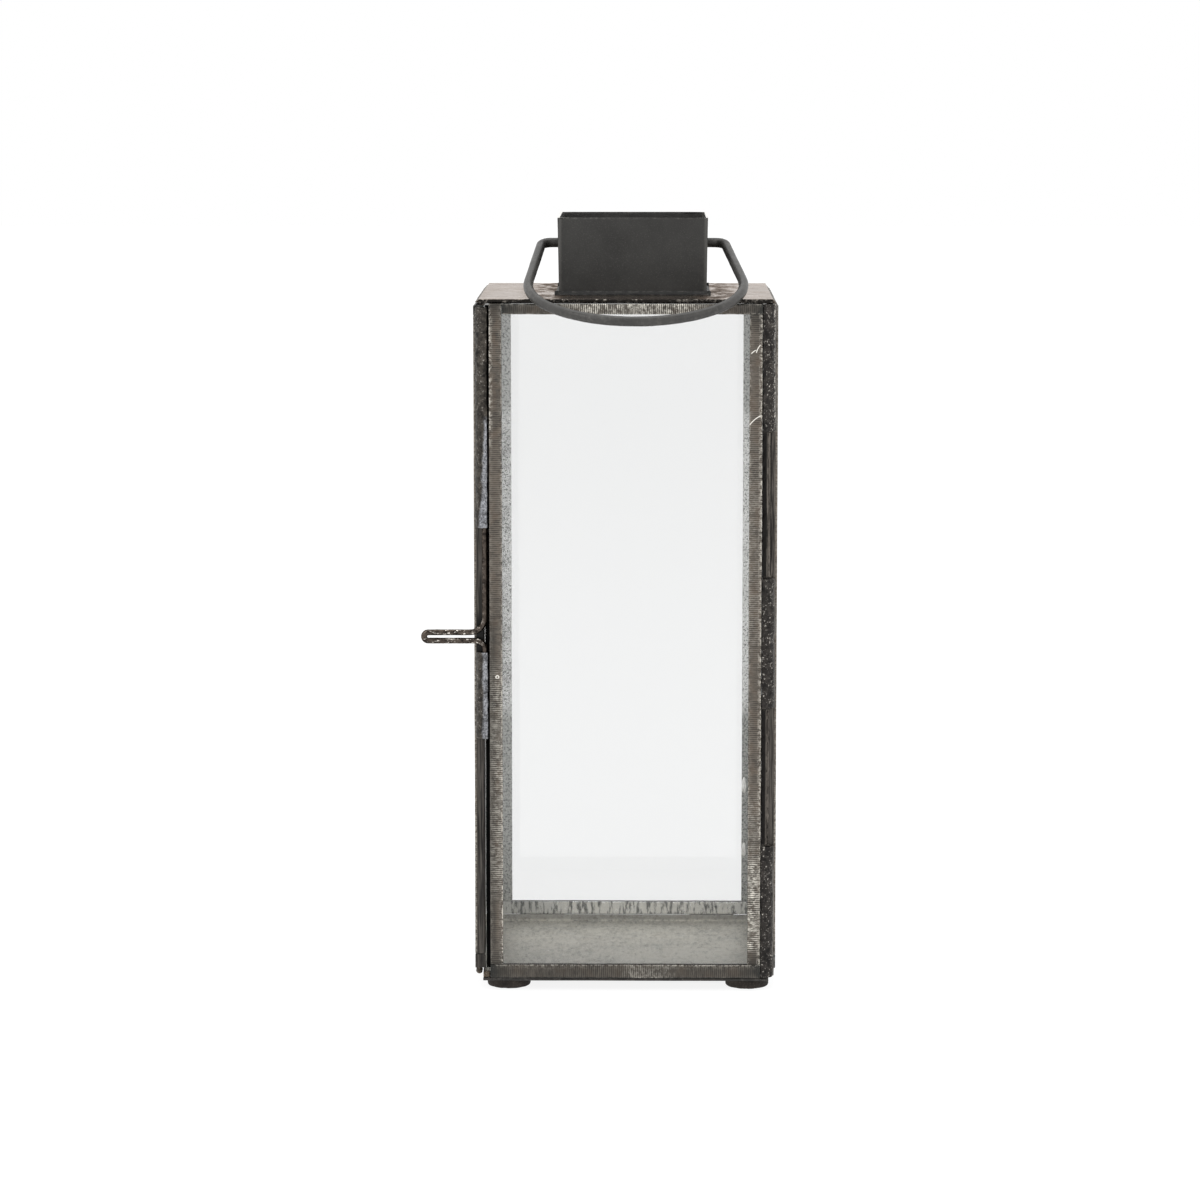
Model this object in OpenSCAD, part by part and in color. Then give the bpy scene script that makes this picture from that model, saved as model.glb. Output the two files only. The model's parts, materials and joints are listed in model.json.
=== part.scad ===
// Candle lantern: a glazed sheet-metal box with a hinged side door, an open chimney and a swinging bail.
// Millimetres. +Z is up and the front faces -Y. The origin is on the table, under the centre of the box.

/* [Box] */
// Width and depth of the box, over the outer faces of its panels
box_w = 100; // [98:0.5:104]
// Height of the front panel's top edge above the table
panel_top = 228.5; // [205:0.5:260]
// Width of each open corner, from a side panel's outer face to the front panel's edge
corner_w = 5.2; // [5.1:0.1:5.6]
// Depth of each open corner, from the front panel's outer face to a side panel's edge
corner_d = 4; // [3.9:0.1:4.2]

/* [Channel strips and glass] */
// Thickness of every channel strip across its panel
channel_t = 3.5; // [3.2:0.1:3.6]
// Thickness of the sheet that the strips are folded from
channel_wall = 0.7; // [0.5:0.1:0.7]
// Width of a stile's face
stile_face = 4.3; // [4:0.1:6]
// Width of a top rail's face
top_face = 3.5; // [3:0.1:5]
// Width of a bottom rail's face
bottom_face = 4.65; // [4:0.05:6]
// Thickness of the glass
glass_t = 2; // [1.6:0.1:2]
// Clearance between the glass and the strips
glass_gap = 0.05; // [0.05:0.01:0.1]

/* [Base] */
// Thickness of the base tray's sheet
base_t = 1; // [0.8:0.1:1.2]
// Distance of the tray's left, right and rear edges from the box's outer faces
base_inset = 2.7; // [2.6:0.1:2.9]
// Distance of the tray's front edge from the box's front face
base_front_inset = 0.6; // [0.4:0.1:0.8]
// Height of the tray's upturned lips above its floor
lip_h = 2.3; // [2:0.1:2.4]
// Gap between a side panel and the lip below it
side_gap = 0.4; // [0.3:0.1:0.5]
// Gap between a side panel and the roof's rim above it
rim_gap = 0.6; // [0.5:0.1:0.8]

/* [Feet] */
// Diameter of each foot
foot_d = 14.5; // [10:0.5:15]
// Height of each foot
foot_h = 3.3; // [2:0.1:5]
// Rounding of each foot's lower edge
foot_round = 0.8; // [0.3:0.1:1]
// Distance of each foot's centre from the box's centre lines
foot_reach = 39.8; // [34:0.1:40]
// Shift of all four feet to the right
foot_shift = 0.9; // [-1:0.1:1]

/* [Roof] */
// Distance of the roof plate's edges from the box's outer faces
roof_inset = 1.75; // [1.6:0.05:2]
// Height of the roof's folded rim, from the panels' tops to the roof's top
rim_h = 1.5; // [1.3:0.1:2]
// Thickness of the roof sheet
roof_t = 0.7; // [0.5:0.1:0.8]
// Thickness of the folded rim
rim_t = 0.9; // [0.8:0.1:1.2]
// Width of the square smoke hole
smoke_hole = 46; // [40:1:46]

/* [Chimney] */
// Width of the chimney at its top, and its depth
chimney_w = 50; // [50:0.5:52]
// Height of the chimney above the roof
chimney_h = 25.6; // [22:0.1:30]
// How much narrower the chimney is at its foot
chimney_taper = 0.9; // [0.4:0.1:1]
// Thickness of the chimney's sheet
chimney_wall = 0.8; // [0.6:0.1:1]
// Shift of the chimney to the right of the box's centre
chimney_shift = 2.2; // [0:0.1:3]
// Width of the bead round the chimney's foot
bead_w = 1.3; // [0.8:0.1:1.5]

/* [Bail] */
// Diameter of the bail's wire
bail_d = 3.3; // [3:0.1:3.5]
// Height of the bail's pivot above the roof
pivot_h = 16.2; // [15.5:0.1:16.5]
// Radius of the bow at the wire's centre
bow_r = 35.3; // [35:0.1:36]
// Distance of the bow's centre from the pivot axis
bow_reach = 42.3; // [41:0.1:43]
// Shift of the bow to the right of the box's centre
bow_shift = 3.3; // [2.5:0.1:3.5]
// Angle by which the left leg spreads outwards
splay_left = 4.9; // [4.5:0.1:6]
// Angle by which the right leg spreads outwards
splay_right = 8; // [6:0.1:8.5]
// Bend radius between a leg and its pivot end, at the wire's centre
bail_bend = 3.5; // [3:0.1:3.6]
// Gap between the resting bail and the roof's edge
rest_gap = 0.3; // [0.3:0.05:0.6]
// Radial clearance between the bail's wire and the chimney's holes
bail_fit = 0.08; // [0.04:0.01:0.1]
// How far each end of the wire reaches inside the chimney
bail_stub = 2.2; // [1.5:0.1:3]

/* [Door hinge] */
// Outer diameter of the hinge tubes
tube_d = 3.5; // [3.2:0.1:3.5]
// Diameter of the hinge pin
pin_d = 1.6; // [1.4:0.1:1.8]
// Radial clearance between the pin and the tubes
pin_fit = 0.05; // [0.03:0.01:0.1]
// Distance of the hinge axis from the outer faces of the door and the back panel
axis_inset = 1.8; // [1.8:0.05:1.85]
// Gap between neighbouring hinge tubes
tube_gap = 0.4; // [0.3:0.1:0.8]

/* [Door pull] */
// Diameter of the pull's wire
pull_d = 2; // [1.8:0.1:2.1]
// Height of the middle of the pull
pull_z = 118.6; // [112:0.1:122]
// Distance that the pull stands out from the door's outer face
pull_out = 17.5; // [12:0.5:22]
// Distance between the centres of the pull's two runs
pull_pitch = 2.75; // [2.4:0.05:3.2]
// Distance of the pull's legs from the door's outer face
leg_inset = 3.7; // [3.4:0.05:3.75]
// Bend radius of the upper leg
upper_bend = 5; // [3:0.5:6]
// Bend radius of the lower leg
lower_bend = 3; // [2:0.5:3]
// How far the upper leg rises above the middle of the pull
upper_leg = 53; // [46:0.5:60]
// How far the lower leg drops below the middle of the pull
lower_leg = 31; // [20:0.5:33]

/* [Hidden] */
$fn = 64;
PANELS = ["front", "back", "right", "door"];
STRIPS = ["left_stile", "right_stile", "top_rail", "bottom_rail"];
FEET = ["front_left", "front_right", "rear_left", "rear_right"];
overlap = 1;

// The box: half its width, the panels' widths and the levels of their edges
half_w = box_w / 2;
slot_t = glass_t + 2 * glass_gap;
face_w = box_w - 2 * corner_w;
side_w = box_w - 2 * corner_d;
floor_z = foot_h + base_t;
lip_top = floor_z + lip_h;
roof_top = panel_top + rim_h;
side_bottom = lip_top + side_gap;
side_top = panel_top - rim_gap;
base_half = half_w - base_inset;
roof_half = half_w - roof_inset;

// The bail rests at this angle below the horizontal, just clear of the roof's edge
rest_drop = asin((bail_d / 2 + rest_gap) / norm([roof_half, pivot_h]));
rest_angle = atan2(pivot_h, roof_half) - rest_drop;

// The bail's wire is a hair thicker in its bends, and its straight runs end a little way inside them
bail_r = bail_d / 2;
bend_swell = 0.02;
run_lap = 0.1;

// The pull's wire stands just in front of the door's front edge
pull_r = pull_d / 2;
pull_gap = 0.02;
leg_x = leg_inset - half_w;
leg_y = -side_w / 2 - pull_r - pull_gap;
upper_run_z = pull_z + pull_pitch / 2;
lower_run_z = pull_z - pull_pitch / 2;
upper_leg_top = pull_z + upper_leg;
lower_leg_end = pull_z - lower_leg;
tip_x = -half_w - pull_out + pull_r + pull_pitch / 2;

// Where each solder stitch of the right-hand corners begins and ends
stitches = [[floor_z, 48.8], [94.5, 138.3], [186.4, panel_top]];

// Solder on the door's front edge: over the lower leg, over the upper leg's end, and on to the top
mid_bead_z = pull_z + 73.4;
top_bead_z = side_top - 0.4;
door_beads = [[pull_z - 34, pull_z - 5], [pull_z + 36, mid_bead_z], [mid_bead_z, top_bead_z]];
bead_gap = 0.4;

// A corner's solder has a round outer face, about a centre this far from the panels' edges
fill_dx = 0.4;
fill_dy = 0.7;

// A thin seam closes each right-hand corner behind its stitches
seam_t = 1.2;

// The door stop is a folded strip: it clears the door, and its wing is set back by a step
stop_t = 0.8;
stop_w = 3.6;
stop_gap = 0.3;
stop_step = corner_d + stop_gap - channel_t;
stop_reach = corner_w - channel_t - stop_gap;

// Solder along the roof and the tray: how far it stays inside the box, and where its tacks begin and end
solder_inset = 0.2;
edge_margin = 2;
rear_fillet = 1.3;
roof_tacks = [[-42, -30], [30, 42]];
side_tacks = [[-45, -25], [25, 45]];
rear_tacks = [[-38, -22], [22, 38]];
tack_inset = 0.5;
tack_lift = 0.1;
tack_drop = 0.4;
lump_inset = 1;
lump_l = 2;

// The door's hinge
axis_x = axis_inset - half_w;
axis_y = half_w - axis_inset;
hinge_z0 = side_bottom + 1.5;
hinge_z1 = side_top - 0.5;
pin_head_h = 0.6;
pin_head_d = tube_d - 0.7;
leaf_t = 0.8;
leaf_root = 0.6;
tube_count = 5;
tube_h = (hinge_z1 - hinge_z0 - (tube_count - 1) * tube_gap) / tube_count;

// Colours of the finished pieces
patina = [0.24, 0.22, 0.20];
sooty = [0.17, 0.17, 0.16];
worn = [0.45, 0.43, 0.40];
solder = [0.30, 0.31, 0.33];
rubber = [0.12, 0.10, 0.09];
clear = [0.88, 0.93, 0.92, 0.3];

// Children are drawn in a panel's own frame: X along the panel, Y = 0 at its outer face and +Y going in
module placed(panel) {
    turn = panel == "front" ? 0 : panel == "right" ? 90 : panel == "back" ? 180 : 270;
    rotate(turn) translate([0, -half_w, 0]) children();
}

function faces_y(panel) = panel == "front" || panel == "back";
function panel_w(panel) = faces_y(panel) ? face_w : side_w;
function panel_z0(panel) = panel == "front" ? floor_z : panel == "back" ? lip_top : side_bottom;
function panel_z1(panel) = faces_y(panel) ? panel_top : side_top;

// A length of U channel along +Z: its web is at X = 0 and its mouth opens towards +X
module channel(length, face) {
    linear_extrude(length) difference() {
        square([face, channel_t]);
        translate([channel_wall, (channel_t - slot_t) / 2]) square([face, slot_t]);
    }
}

// One strip of a panel's frame, where left and right are as seen from outside that panel.
// The left stile runs to the top, and the top rail butts against it and caps the right stile.
module strip(panel, name) {
    half = panel_w(panel) / 2;
    z0 = panel_z0(panel);
    z1 = panel_z1(panel);
    stile_z = z0 + bottom_face;
    color(patina) placed(panel) {
        if (name == "left_stile")
            translate([-half, 0, stile_z]) channel(z1 - stile_z, stile_face);
        if (name == "right_stile")
            translate([half, 0, stile_z]) mirror([1, 0, 0]) channel(z1 - top_face - stile_z, stile_face);
        if (name == "top_rail")
            translate([stile_face - half, 0, z1]) rotate([0, 90, 0])
                channel(2 * half - stile_face, top_face);
        if (name == "bottom_rail")
            translate([half, 0, z0]) rotate([0, -90, 0]) channel(2 * half, bottom_face);
    }
}

// The glass stands on the bottom rail's web and reaches into all four channels
module glass(panel) {
    half = panel_w(panel) / 2 - channel_wall - glass_gap;
    z0 = panel_z0(panel) + channel_wall;
    z1 = panel_z1(panel) - channel_wall - glass_gap;
    color(clear) placed(panel)
        translate([-half, (channel_t - glass_t) / 2, z0]) cube([2 * half, glass_t, z1 - z0]);
}

module foot(name) {
    side = name == "front_left" || name == "rear_left" ? -1 : 1;
    end = name == "front_left" || name == "front_right" ? -1 : 1;
    core_r = foot_d / 2 - foot_round;
    color(rubber) translate([side * foot_reach + foot_shift, end * foot_reach, 0]) {
        cylinder(h = foot_h, r = core_r);
        translate([0, 0, foot_round]) {
            cylinder(h = foot_h - foot_round, d = foot_d);
            rotate_extrude() translate([core_r, 0]) circle(foot_round);
        }
    }
}

module base_tray() {
    front = base_front_inset - half_w;
    lip_front = -side_w / 2;
    wall_h = base_t + lip_h;
    color(worn) {
        translate([-base_half, front, foot_h]) cube([2 * base_half, base_half - front, base_t]);
        for (x = [-base_half, base_half - base_t])
            translate([x, lip_front, foot_h]) cube([base_t, base_half - lip_front, wall_h]);
        translate([-base_half, base_half - base_t, foot_h]) cube([2 * base_half, base_t, wall_h]);
    }
}

module roof_plate() {
    inner = roof_half - rim_t;
    color(worn) difference() {
        translate([-roof_half, -roof_half, panel_top]) cube([2 * roof_half, 2 * roof_half, rim_h]);
        translate([-inner, -inner, panel_top - overlap])
            cube([2 * inner, 2 * inner, rim_h - roof_t + overlap]);
        translate([chimney_shift - smoke_hole / 2, -smoke_hole / 2, panel_top])
            cube([smoke_hole, smoke_hole, rim_h + overlap]);
    }
}

// Half the chimney's width at height z above the roof
function chimney_half(z) = chimney_w / 2 - chimney_taper / 2 * (1 - z / chimney_h);

// A block with the chimney's taper, inset from its faces and running past its ends by extra
module chimney_block(inset, extra) {
    low = chimney_half(-extra) - inset;
    high = chimney_half(chimney_h + extra) - inset;
    top = chimney_h + extra;
    depth = chimney_w - 2 * inset;
    translate([0, depth / 2, 0]) rotate([90, 0, 0])
        linear_extrude(depth) polygon([[-low, -extra], [low, -extra], [high, top], [-high, top]]);
}

module chimney_shell() {
    color(sooty) translate([chimney_shift, 0, roof_top]) difference() {
        chimney_block(0, 0);
        chimney_block(chimney_wall, overlap);
        translate([-chimney_w, 0, pivot_h]) rotate([0, 90, 0])
            cylinder(h = 2 * chimney_w, r = bail_d / 2 + bail_fit);
    }
}

// A run of three-cornered bead along +X, leaning against a wall at Y = 0
module bead_run(length) {
    rotate([90, 0, 90]) linear_extrude(length) polygon([[0, 0], [-bead_w, 0], [0, bead_w]]);
}

module chimney_foot_bead() {
    half_x = chimney_half(bead_w);
    half_y = chimney_w / 2;
    color(sooty) translate([chimney_shift, 0, roof_top]) {
        for (turn = [0, 180]) rotate(turn)
            translate([-half_x - bead_w, -half_y, 0]) bead_run(2 * (half_x + bead_w));
        for (turn = [90, 270]) rotate(turn)
            translate([-half_y - bead_w, -half_x, 0]) bead_run(2 * (half_y + bead_w));
    }
}

// A bent stretch of round wire in the XY plane, about the origin
module wire_arc(bend, from, sweep, r) {
    rotate(from) rotate_extrude(angle = sweep) translate([bend, 0]) circle(r);
}

// A straight stretch of round wire between two points of the XY plane, longer by lap at each end
module wire_run(a, b, r, lap = 0) {
    d = b - a;
    translate([a.x, a.y, 0]) rotate([0, 90, atan2(d.y, d.x)]) translate([0, 0, -lap])
        cylinder(h = norm(d) + 2 * lap, r = r);
}

// One leg of the bail in its own plane: X outwards from the bow's middle, Y away from the pivot axis
module bail_leg(splay, stub_x) {
    bow_start = [bow_r * cos(splay), bow_reach - bow_r * sin(splay)];
    corner_x = bow_r / cos(splay) - bow_reach * tan(splay);
    reach = bail_bend * tan((90 - splay) / 2);
    leg_start = [corner_x + reach * sin(splay), reach * cos(splay)];
    wire_run([stub_x, 0], [corner_x - reach, 0], bail_r, run_lap);
    translate([corner_x - reach, bail_bend]) wire_arc(bail_bend, -90, 90 - splay, bail_r + bend_swell);
    wire_run(leg_start, bow_start, bail_r, run_lap);
}

module bail_wire() {
    inner = chimney_w / 2 - chimney_wall - bail_stub;
    bow_sweep = 180 + splay_left + splay_right;
    color(sooty) translate([bow_shift, 0, roof_top + pivot_h]) rotate([180 + rest_angle, 0, 0]) {
        bail_leg(splay_right, chimney_shift + inner - bow_shift);
        mirror([1, 0, 0]) bail_leg(splay_left, bow_shift - chimney_shift + inner);
        translate([0, bow_reach]) wire_arc(bow_r, -splay_right, bow_sweep, bail_r + bend_swell);
    }
}

// Outline of the solder that fills the front right corner; gap keeps it off the front panel
module corner_fill(gap) {
    edge_x = face_w / 2 + gap;
    edge_y = -side_w / 2;
    intersection() {
        translate([edge_x, -half_w]) square([corner_w - gap, corner_d]);
        translate([edge_x + fill_dx, edge_y + fill_dy]) circle(corner_w - fill_dy - gap);
    }
}

module corner_stitches() {
    seam = [half_w - channel_t + seam_t - face_w / 2, seam_t, panel_top - floor_z];
    for (s = stitches) translate([0, 0, s[0]]) linear_extrude(s[1] - s[0]) corner_fill(0);
    translate([face_w / 2, -side_w / 2 - seam_t, floor_z]) cube(seam);
}

module front_corner_solder() {
    color(solder) corner_stitches();
}

module rear_corner_solder() {
    color(solder) mirror([0, 1, 0]) intersection() {
        corner_stitches();
        translate([0, -box_w, lip_top]) cube([box_w, box_w, panel_top]);
    }
}

// A length of solder along Y with the given outline in X and Z
module bead_y(y0, y1, outline) {
    translate([0, y1, 0]) rotate([90, 0, 0]) linear_extrude(y1 - y0) polygon(outline);
}

module roof_edge_solder() {
    inner = half_w - channel_t;
    outer = half_w - solder_inset;
    reach = side_w / 2 - edge_margin;
    high = roof_top - solder_inset;
    under_rim = [[roof_half, high], [roof_half, panel_top], [inner, panel_top]];
    right_edge = concat([[inner, side_top], [outer, side_top]], under_rim);
    left_edge = [[-roof_half, panel_top], [-roof_half, high], [-outer, panel_top]];
    rear_edge = [[roof_half, panel_top], [roof_half + rear_fillet, panel_top], [roof_half, high]];
    color(solder) {
        bead_y(-reach, reach, right_edge);
        bead_y(-reach, reach, left_edge);
        rotate(90) for (t = roof_tacks) bead_y(t[0], t[1], rear_edge);
    }
}

module base_solder() {
    inner = half_w - channel_t;
    outer = half_w - tack_inset;
    low = floor_z + tack_lift;
    over_lip = [[inner, side_bottom], [inner, lip_top], [base_half, lip_top]];
    side_edge = concat([[base_half, low], [outer, lip_top], [outer, side_bottom]], over_lip);
    rear_edge = [[base_half, low], [outer, lip_top - tack_drop], [outer, lip_top], [base_half, lip_top]];
    lump = [base_half - face_w / 2, lump_l, lip_h - solder_inset];
    color(solder) {
        for (t = side_tacks) bead_y(t[0], t[1], side_edge);
        rotate(90) for (t = rear_tacks) bead_y(t[0], t[1], rear_edge);
        translate([-base_half, lump_inset - half_w, floor_z]) cube(lump);
    }
}

// The pull lies in one upright plane: here X is across the lantern and Y is height
module door_pull() {
    upper_turn = [leg_x - upper_bend, upper_run_z + upper_bend];
    lower_turn = [leg_x - lower_bend, lower_run_z - lower_bend];
    color(patina) translate([0, leg_y, 0]) rotate([90, 0, 0]) {
        wire_run([leg_x, upper_leg_top], [leg_x, upper_turn.y], pull_r);
        translate(upper_turn) wire_arc(upper_bend, -90, 90, pull_r);
        wire_run([upper_turn.x, upper_run_z], [tip_x, upper_run_z], pull_r);
        translate([tip_x, pull_z]) wire_arc(pull_pitch / 2, 90, 180, pull_r);
        wire_run([tip_x, lower_run_z], [lower_turn.x, lower_run_z], pull_r);
        translate(lower_turn) wire_arc(lower_bend, 0, 90, pull_r);
        wire_run([leg_x, lower_turn.y], [leg_x, lower_leg_end], pull_r);
    }
}

// A groove along the door's edge, where the solder lies over a leg of the pull
module leg_groove(z0, z1) {
    groove = pull_r + pull_gap;
    translate([leg_x, leg_y, z0]) {
        cylinder(h = z1 - z0, r = groove);
        translate([-groove, 0, 0]) cube([2 * groove, corner_d, z1 - z0]);
    }
}

module door_edge_solder() {
    color(solder) difference() {
        for (b = door_beads) translate([0, 0, b[0]])
            linear_extrude(b[1] - b[0]) mirror([1, 0, 0]) corner_fill(bead_gap);
        leg_groove(lower_leg_end - pull_gap, upper_leg_top + pull_gap);
    }
}

// The door's front edge closes beside this strip, which lies on the back of the front panel's left stile
module door_stop() {
    near = [[0, 0], [stop_w, 0], [stop_w, stop_t], [stop_t, stop_t]];
    wing_back = stop_step + stop_t;
    wing = [[stop_t, wing_back], [-stop_reach, wing_back], [-stop_reach, stop_step], [0, stop_step]];
    color(patina) translate([-face_w / 2, channel_t - half_w, side_bottom])
        linear_extrude(side_top - side_bottom) polygon(concat(near, wing));
}

// Hinge tube number i counted from the bottom; its leaf reaches out by leaf_l in the direction of turn
module hinge_tube(i, turn, leaf_l) {
    leaf_start = tube_d / 2 - leaf_root;
    translate([axis_x, axis_y, hinge_z0 + i * (tube_h + tube_gap)]) difference() {
        union() {
            cylinder(h = tube_h, d = tube_d);
            rotate(turn) translate([leaf_start, -leaf_t / 2, 0]) cube([leaf_l - leaf_start, leaf_t, tube_h]);
        }
        translate([0, 0, -overlap]) cylinder(h = tube_h + 2 * overlap, d = pin_d + 2 * pin_fit);
    }
}

module hinge_body_tubes() {
    color(patina) for (i = [0:2:tube_count - 1]) hinge_tube(i, 0, -face_w / 2 - axis_x);
}

module hinge_door_tubes() {
    color(patina) for (i = [1:2:tube_count - 1]) hinge_tube(i, -90, axis_y - side_w / 2);
}

module hinge_pin() {
    pin_l = hinge_z1 - hinge_z0;
    color(worn) translate([axis_x, axis_y, hinge_z0 - pin_head_h]) {
        cylinder(h = pin_l + 2 * pin_head_h, d = pin_d);
        for (z = [0, pin_l + pin_head_h]) translate([0, 0, z]) cylinder(h = pin_head_h, d = pin_head_d);
    }
}

base_tray();
roof_plate();
chimney_shell();
chimney_foot_bead();
bail_wire();
door_pull();
front_corner_solder();
rear_corner_solder();
roof_edge_solder();
base_solder();
door_edge_solder();
hinge_body_tubes();
hinge_door_tubes();
hinge_pin();
door_stop();
for (f = FEET) foot(f);
for (p = PANELS) glass(p);
for (p = PANELS, s = STRIPS) strip(p, s);
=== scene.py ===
"""Looks of the candle lantern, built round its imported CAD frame. Metres, +Z up, the front faces -Y."""

import json
import math

import bmesh
import bpy
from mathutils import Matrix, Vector, noise


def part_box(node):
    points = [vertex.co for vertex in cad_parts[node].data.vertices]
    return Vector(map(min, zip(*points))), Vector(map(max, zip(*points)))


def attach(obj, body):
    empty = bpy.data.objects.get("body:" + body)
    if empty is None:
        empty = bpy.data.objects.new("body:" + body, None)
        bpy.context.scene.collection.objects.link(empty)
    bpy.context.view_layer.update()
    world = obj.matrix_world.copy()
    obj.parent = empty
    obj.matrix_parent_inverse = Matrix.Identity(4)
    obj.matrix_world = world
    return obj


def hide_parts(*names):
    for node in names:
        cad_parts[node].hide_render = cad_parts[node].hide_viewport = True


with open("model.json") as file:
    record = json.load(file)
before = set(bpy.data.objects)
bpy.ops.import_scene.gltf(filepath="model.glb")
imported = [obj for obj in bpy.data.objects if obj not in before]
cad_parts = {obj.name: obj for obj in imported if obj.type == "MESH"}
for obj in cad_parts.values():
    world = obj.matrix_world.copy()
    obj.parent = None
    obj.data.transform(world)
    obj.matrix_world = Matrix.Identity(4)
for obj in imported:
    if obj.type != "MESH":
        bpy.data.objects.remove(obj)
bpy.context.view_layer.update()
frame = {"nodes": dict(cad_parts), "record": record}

MM = 0.001
UP = Vector((0, 0, 1))
PANEL_OUT = {"front": (0, -1, 0), "back": (0, 1, 0), "right": (1, 0, 0), "door": (-1, 0, 0)}
STRIPS = ("left_stile", "right_stile", "top_rail", "bottom_rail")

# The front stiles of the two side panels: their inner faces are as dark as their outer ones, and their inner
# folds as dark as the web, as painted shade where the corners shade them
SHADED = ("door_right_stile", "right_left_stile")
BODY_OF = {node: body for body, nodes in frame["record"]["behaviour"]["bodies"].items() for node in nodes}

# The folded strip: radius of its fold, thickness of its sheet, rounding of its lips, and the ribs' pitch
FOLD = 0.5 * MM
WALL = 0.7 * MM
LIP = 0.12 * MM
RIB_PITCH = 0.66 * MM

# The strips' material, which the tab at the door's lower end shares
STRIP_METAL = "strip_metal"

# How finely a strip's mesh is cut along its length, and round each fold
SECTION = 0.6 * MM
ARC_STEPS = 4

# How far a strip's faces, its fold and its cut mouth wander, and how deep the nicks in the mouth are
FACE_WAVE = 0.045 * MM
FOLD_WAVE = 0.04 * MM
MOUTH_WAVE = 0.09 * MM
NICK = 0.22 * MM
END_ROUNDING = 0.12 * MM

# Fine bright arcs on the front: a burr on the left stile, then scratches across the right stile.
# Each has a centre, a radius, and the heights of its lower and upper ends.
ARC_WIDTH = 0.2 * MM
ARCS = (
    ((-0.0422, 0, 0.1055), 0.5 * MM, 0.1049, 0.1064),
    ((0.0480, 0, 0.1838), 9.0 * MM, 0.1889, 0.1919),
    ((0.0456, 0, 0.2082), 6.1 * MM, 0.2122, 0.2134),
    ((0.0487, 0, 0.2111), 6.2 * MM, 0.2125, 0.2150),
)

# Where bare tin or solder shows on the outer faces: the axis that it changes along, and then each
# stretch's share, low end, high end and softness, the last three in millimetres
TINNED = {
    "front_top_rail": ("x", [(0.95, -14, 20, 9)]),
    "front_right_stile": ("z", [(1.0, 15, 43, 2), (0.2, 120, 176, 10), (0.3, 44, 62, 6)]),
    "front_bottom_rail": ("x", [(0.25, 2, 14, 4)]),
    "front_left_stile": ("z", [(0.45, 40, 100, 12)]),
}

# Where the two bright drips run down the back panel's right stile, inside
DRIP_X = 0.0414
DRIP_Y = 0.0462

# The camera's place, its tilt down and its turn in degrees, and its lens in millimetres
CAMERA_PLACE = (0.008, -1.47, 0.3131)
CAMERA_TILT = 7.3
CAMERA_TURN = 0.66
CAMERA_LENS = 130.6


# ---------------------------------------------------------------- shader building blocks

def add(tree, kind, settings=None, **inputs):
    """Adds a shader node. An input is a value or another node's socket; i0, i1 name inputs by number."""
    made = tree.nodes.new("ShaderNode" + kind)
    for key, value in (settings or {}).items():
        setattr(made, key, value)
    for key, value in inputs.items():
        by_number = key[0] == "i" and key[1:].isdigit()
        socket = made.inputs[int(key[1:]) if by_number else key.replace("_", " ")]
        if isinstance(value, bpy.types.NodeSocket):
            tree.links.new(value, socket)
        else:
            socket.default_value = value
    return made


def rgba(colour):
    return (*colour, 1.0) if len(colour) == 3 else tuple(colour)


def mixed(tree, share, first, second):
    """A colour between two colours or sockets."""
    made = add(tree, "Mix", {"data_type": "RGBA"}, i0=share)
    for number, value in ((6, first), (7, second)):
        if isinstance(value, bpy.types.NodeSocket):
            tree.links.new(value, made.inputs[number])
        else:
            made.inputs[number].default_value = rgba(value)
    return made.outputs[2]


def maths(tree, operation, first, second):
    """A sum, product or the like, kept between 0 and 1."""
    return add(tree, "Math", {"operation": operation, "use_clamp": True}, i0=first, i1=second).outputs[0]


def remap(tree, value, low, high, new_low=0.0, new_high=1.0):
    return add(tree, "MapRange", None, i0=value, i1=low, i2=high, i3=new_low, i4=new_high).outputs[0]


def place(tree):
    """The point's own place in the lantern's frame, which moves with the piece."""
    return add(tree, "TexCoord").outputs["Object"]


def stretched(tree, vector, factors):
    return add(tree, "VectorMath", {"operation": "MULTIPLY"}, i0=vector, i1=factors).outputs[0]


def grain(tree, vector, size, detail=3.0, rough=0.55):
    """Noise from 0 to 1 with features of about the given size in metres."""
    made = add(tree, "TexNoise", None, Vector=vector, Scale=1 / size, Detail=detail, Roughness=rough)
    return made.outputs["Fac"]


def specks(tree, vector, size, cover):
    """1 in scattered round specks and 0 between them."""
    cells = add(tree, "TexVoronoi", None, Vector=vector, Scale=1 / size)
    return remap(tree, cells.outputs["Distance"], cover, cover * 0.5)


def ridges(tree, vector, period):
    """Even ridges across the vector's X, at the given period in metres, each a little out of line."""
    made = add(tree, "TexWave", None, Vector=vector, Scale=math.pi / 10 / period, Distortion=1.2, Detail=2.0)
    made.inputs["Detail Scale"].default_value = 1.5
    return made.outputs["Fac"]


def arc_mark(tree, where, centre, radius, low, high):
    """1 along a fine arc on the front face, between two heights: a scratch or the rim of a small burr."""
    width = ARC_WIDTH
    offset = add(tree, "VectorMath", {"operation": "SUBTRACT"}, i0=where, i1=centre).outputs[0]
    flat = stretched(tree, offset, (1, 0, 1))
    across = add(tree, "VectorMath", {"operation": "LENGTH"}, i0=flat).outputs["Value"]
    off_line = add(tree, "Math", {"operation": "SUBTRACT"}, i0=across, i1=radius).outputs[0]
    miss = add(tree, "Math", {"operation": "ABSOLUTE"}, i0=off_line).outputs[0]
    parts = add(tree, "SeparateXYZ", None, i0=where)
    line = remap(tree, miss, width, width * 0.4)
    in_front = remap(tree, parts.outputs["Y"], -0.047, -0.048)
    above = maths(tree, "MULTIPLY", in_front, remap(tree, parts.outputs["Z"], low, low + width))
    below = remap(tree, parts.outputs["Z"], high + width, high)
    return maths(tree, "MULTIPLY", line, maths(tree, "MULTIPLY", above, below))


def attribute(tree, name, output="Fac"):
    return add(tree, "Attribute", {"attribute_name": name}).outputs[output]


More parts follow.
